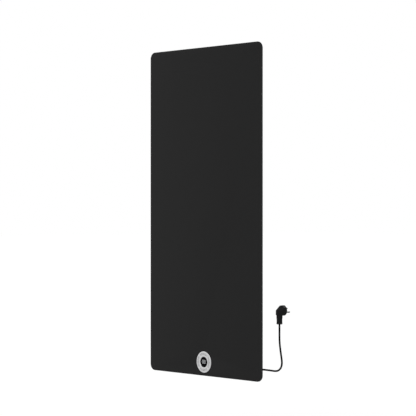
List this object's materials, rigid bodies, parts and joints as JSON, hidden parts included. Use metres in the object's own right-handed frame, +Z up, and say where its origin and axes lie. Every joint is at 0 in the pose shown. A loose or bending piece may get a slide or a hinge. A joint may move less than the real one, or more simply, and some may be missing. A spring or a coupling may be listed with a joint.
{
  "type": "electric towel radiator",
  "caption": "Tall flat-panel electric towel radiator with a round display control near its bottom edge, a short mains cord with an angled plug, and the wall rail it hooks onto.",
  "frame": {"origin": "centre of the wall rail's back face, on the wall plane", "axes": "+Y into the wall, so the front faces -Y; +Z up; +X to the right as seen from the front"},
  "size_m": [0.6789, 0.0733, 1.2],
  "materials": {
    "satin_glass": "satin-etched, near black",
    "satin_silver": "satin silver",
    "zinc_steel": "zinc plated",
    "casing_paint": "matt powder coat",
    "bare_aluminium": "mill finish",
    "brass": "plain",
    "black_plastic": "fine matt",
    "box_plastic": "fine matt",
    "plug_plastic": "soft satin",
    "lens_black": "clear over black",
    "key_silver": "silver lacquer",
    "black_rubber": "matt",
    "cord_sheath": "matt",
    "grey_silicone": "matt",
    "red_silicone": "matt",
    "white_plastic": "matt",
    "wire_white": "matt",
    "wire_green_yellow": "matt",
    "circuit_board": "solder mask",
    "coil_tape": "tape",
    "mineral_wool": "felted"
  },
  "bodies": {
    "wall_bracket": {"wall_rail": "zinc_steel"},
    "heater": {"front_plate": "satin_glass", "seal_gasket": "grey_silicone", "bonding_frame": "bare_aluminium", "rear_casing": "casing_paint", "heat_spreader": "bare_aluminium", "heating_cable": "red_silicone", "insulation_mat": "mineral_wool", "thermal_cutout": "black_plastic", "cutout_clip": "zinc_steel", "earth_stud": "brass", "electronics_box": "box_plastic", "glass_boss_left": "bare_aluminium", "glass_boss_right": "bare_aluminium", "box_screw_left": "zinc_steel", "box_screw_right": "zinc_steel", "control_bezel": "satin_silver", "display_lens": "lens_black", "display_module": "black_plastic", "key_mat": "grey_silicone", "control_board": "circuit_board", "control_clamp_ring": "black_plastic", "control_housing": "black_plastic", "control_ribbon": "white_plastic", "power_module_base": "black_plastic", "power_module_lid": "black_plastic", "power_board": "circuit_board", "relay": "white_plastic", "transformer": "coil_tape", "terminal_block": "white_plastic", "cable_duct": "black_rubber", "element_lead_left": "wire_white", "element_lead_right": "wire_white", "cutout_lead": "wire_white", "earth_lead": "wire_green_yellow", "room_sensor": "white_plastic", "sensor_lead": "black_plastic", "cord_gland": "black_rubber", "cord_clamp": "black_plastic", "mains_lead": "cord_sheath", "hanger_rail": "zinc_steel", "hanger_rivet_1": "bare_aluminium", "hanger_rivet_2": "bare_aluminium", "wall_buffer_left": "black_rubber", "wall_buffer_right": "black_rubber", "power_cord": "cord_sheath", "plug_body": "plug_plastic", "plug_pin_1": "zinc_steel", "plug_pin_2": "zinc_steel", "plug_earth_clip": "zinc_steel", "casing_screw_1": "zinc_steel", "casing_screw_2": "zinc_steel", "casing_screw_3": "zinc_steel", "casing_screw_4": "zinc_steel", "casing_screw_5": "zinc_steel", "casing_screw_6": "zinc_steel"},
    "key_power": {"key_power": "key_silver"},
    "key_up": {"key_up": "key_silver"},
    "key_mode": {"key_mode": "key_silver"},
    "key_down": {"key_down": "key_silver"}
  },
  "joints": [
    {"name": "lift_off", "type": "slide", "parent": "wall_bracket", "child": "heater", "axis": [0, 0, 1], "range_m": [0, 0.02]},
    {"name": "press_power", "type": "slide", "parent": "heater", "child": "key_power", "axis": [0, 1, 0], "range_m": [0, 0.0006], "stiffness_N_per_m": 800},
    {"name": "press_up", "type": "slide", "parent": "heater", "child": "key_up", "axis": [0, 1, 0], "range_m": [0, 0.0006], "stiffness_N_per_m": 800},
    {"name": "press_mode", "type": "slide", "parent": "heater", "child": "key_mode", "axis": [0, 1, 0], "range_m": [0, 0.0006], "stiffness_N_per_m": 800},
    {"name": "press_down", "type": "slide", "parent": "heater", "child": "key_down", "axis": [0, 1, 0], "range_m": [0, 0.0006], "stiffness_N_per_m": 800}
  ]
}
